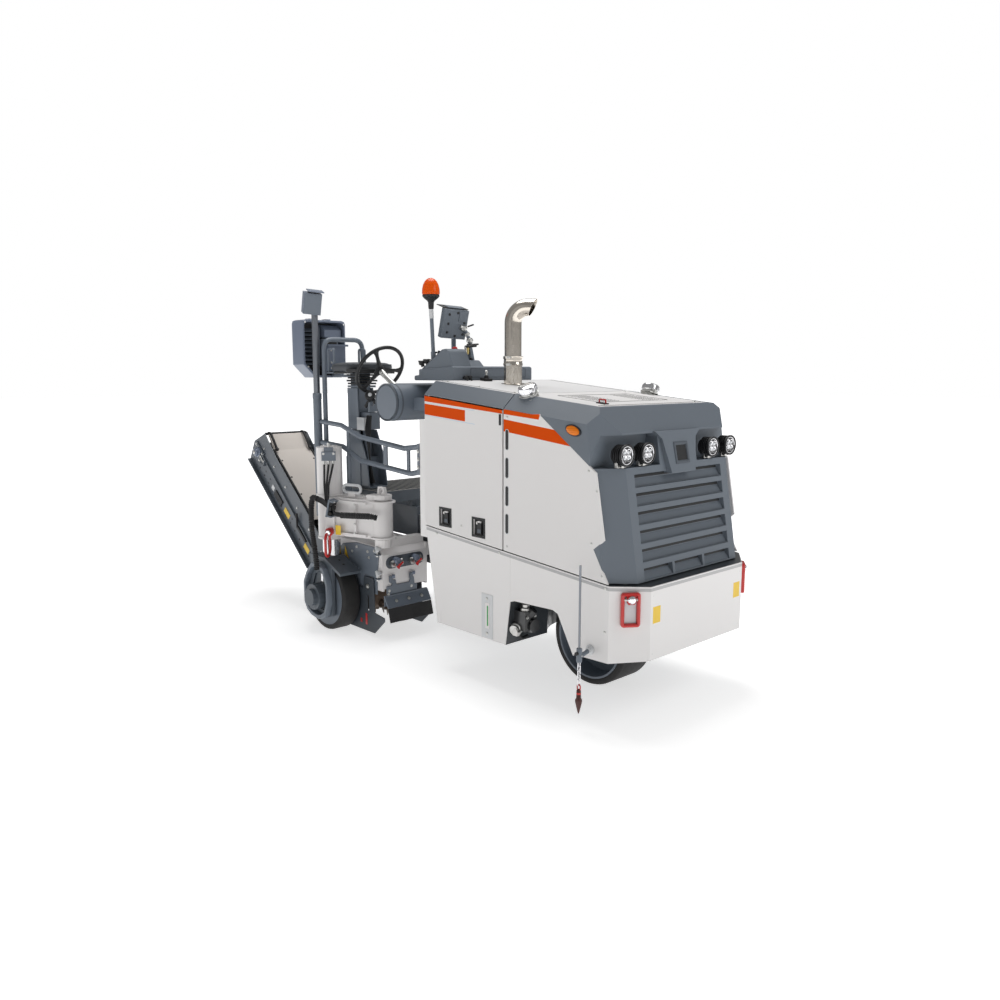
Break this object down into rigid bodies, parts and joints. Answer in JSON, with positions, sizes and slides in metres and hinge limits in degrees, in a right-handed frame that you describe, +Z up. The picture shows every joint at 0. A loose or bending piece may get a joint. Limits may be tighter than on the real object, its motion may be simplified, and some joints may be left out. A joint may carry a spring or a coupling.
{
  "type": "cold planer milling machine",
  "caption": "Small three-wheeled cold planer with a rear operator's stand, a side milling drum, a lifting conveyor and a tilting hood.",
  "frame": {"origin": "on the ground under the middle of the machine's box", "axes": "+X forward towards the grille, +Y to the machine's left, +Z up"},
  "size_m": [3.9657, 1.596, 2.3999],
  "materials": {
    "panel_white": "semi-gloss",
    "slate_paint": "satin",
    "slate_moulding": "moulded",
    "dark_plastic": "moulded",
    "steel": "bare",
    "chrome": "polished",
    "rubber": "matt",
    "tyre_rubber": "matt",
    "iron": "cast",
    "red_paint": "gloss",
    "lamp_black": "anodised",
    "seat_cover": "matt"
  },
  "bodies": {
    "machine": {"chassis_frame": "panel_white", "front_frame": "panel_white", "rear_frame": "slate_paint", "engine_block": "iron", "rear_hood": "slate_paint", "exhaust_stack": "chrome", "left_column": "panel_white", "drum_housing": "panel_white", "housing_plates": "slate_paint", "front_flap": "rubber", "valve_block": "steel", "operator_platform": "slate_paint", "guard_rails": "slate_paint", "mast": "slate_paint", "finned_cabinet": "slate_paint", "stand_column": "slate_paint", "seat_cushion": "seat_cover", "steering_column": "steel", "round_tank": "slate_paint", "console": "slate_paint", "display_unit": "dark_plastic", "beacon": "steel", "tow_shackles": "red_paint", "pointer_rod": "steel", "pointer_weight": "red_paint"},
    "right_door": {"right_door": "panel_white"},
    "left_door": {"left_door": "panel_white"},
    "hood": {"hood_moulding": "slate_moulding", "hood_panels": "panel_white", "work_lamps": "lamp_black", "filler_caps": "chrome"},
    "front_fork": {"front_fork": "slate_paint"},
    "front_wheel": {"front_rim": "slate_paint", "front_tyre": "tyre_rubber"},
    "swing_arm": {"swing_arm": "panel_white", "arm_hoses": "rubber"},
    "milling_drum": {"milling_drum": "steel"},
    "right_edge_plate": {"right_edge_plate": "slate_paint"},
    "left_edge_plate": {"left_edge_plate": "slate_paint"},
    "conveyor": {"conveyor_frame": "slate_paint", "conveyor_belt": "rubber", "conveyor_cover": "panel_white"},
    "steering_wheel": {"steering_wheel": "dark_plastic"},
    "right_leg": {"right_leg": "slate_paint"},
    "right_wheel": {"right_rim": "slate_paint", "right_tyre": "tyre_rubber"},
    "left_leg": {"left_leg": "slate_paint"},
    "left_wheel": {"left_rim": "slate_paint", "left_tyre": "tyre_rubber"}
  },
  "joints": [
    {"name": "front_steer", "type": "hinge", "parent": "machine", "child": "front_fork", "pos_m": [1.334, 0, 0.6], "axis": [0, 0, 1], "range_deg": [-80, 80]},
    {"name": "front_spin", "type": "hinge", "parent": "front_fork", "child": "front_wheel", "pos_m": [1.334, 0, 0.27], "axis": [0, 1, 0], "continuous": true},
    {"name": "swing", "type": "hinge", "parent": "machine", "child": "swing_arm", "pos_m": [-0.214, -0.472, 0.805], "axis": [0, 0, 1], "range_deg": [0, 180]},
    {"name": "right_lift", "type": "slide", "parent": "swing_arm", "child": "right_leg", "axis": [0, 0, 1], "range_m": [-0.08, 0.11]},
    {"name": "right_spin", "type": "hinge", "parent": "right_leg", "child": "right_wheel", "pos_m": [-0.65, -0.6035, 0.25], "axis": [0, 1, 0], "continuous": true},
    {"name": "left_lift", "type": "slide", "parent": "machine", "child": "left_leg", "axis": [0, 0, 1], "range_m": [-0.08, 0.11]},
    {"name": "left_spin", "type": "hinge", "parent": "left_leg", "child": "left_wheel", "pos_m": [-0.65, 0.6035, 0.25], "axis": [0, 1, 0], "continuous": true},
    {"name": "drum_spin", "type": "hinge", "parent": "machine", "child": "milling_drum", "pos_m": [-0.446, -0.323, 0.3], "axis": [0, 1, 0], "continuous": true},
    {"name": "right_plate_lift", "type": "slide", "parent": "machine", "child": "right_edge_plate", "axis": [0, 0, 1], "range_m": [0, 0.1]},
    {"name": "left_plate_lift", "type": "slide", "parent": "machine", "child": "left_edge_plate", "axis": [0, 0, 1], "range_m": [0, 0.1]},
    {"name": "conveyor_lift", "type": "hinge", "parent": "machine", "child": "conveyor", "pos_m": [-0.83274, -0.33, 0.29617], "axis": [0, 1, 0], "range_deg": [-20, 10]},
    {"name": "steering", "type": "hinge", "parent": "machine", "child": "steering_wheel", "pos_m": [-0.453, -0.3, 1.815], "axis": [-0.848, 0, 0.5299], "range_deg": [-540, 540]},
    {"name": "hood_tilt", "type": "hinge", "parent": "machine", "child": "hood", "pos_m": [1.924, 0, 0.756], "axis": [0, 1, 0], "range_deg": [0, 50]},
    {"name": "right_door_lift", "type": "hinge", "parent": "machine", "child": "right_door", "pos_m": [0.7515, -0.586, 1.62829], "axis": [-0.9955, 0, 0.0951], "range_deg": [0, 80]},
    {"name": "left_door_lift", "type": "hinge", "parent": "machine", "child": "left_door", "pos_m": [0.7515, 0.586, 1.62829], "axis": [0.9955, 0, -0.0951], "range_deg": [0, 80]}
  ]
}
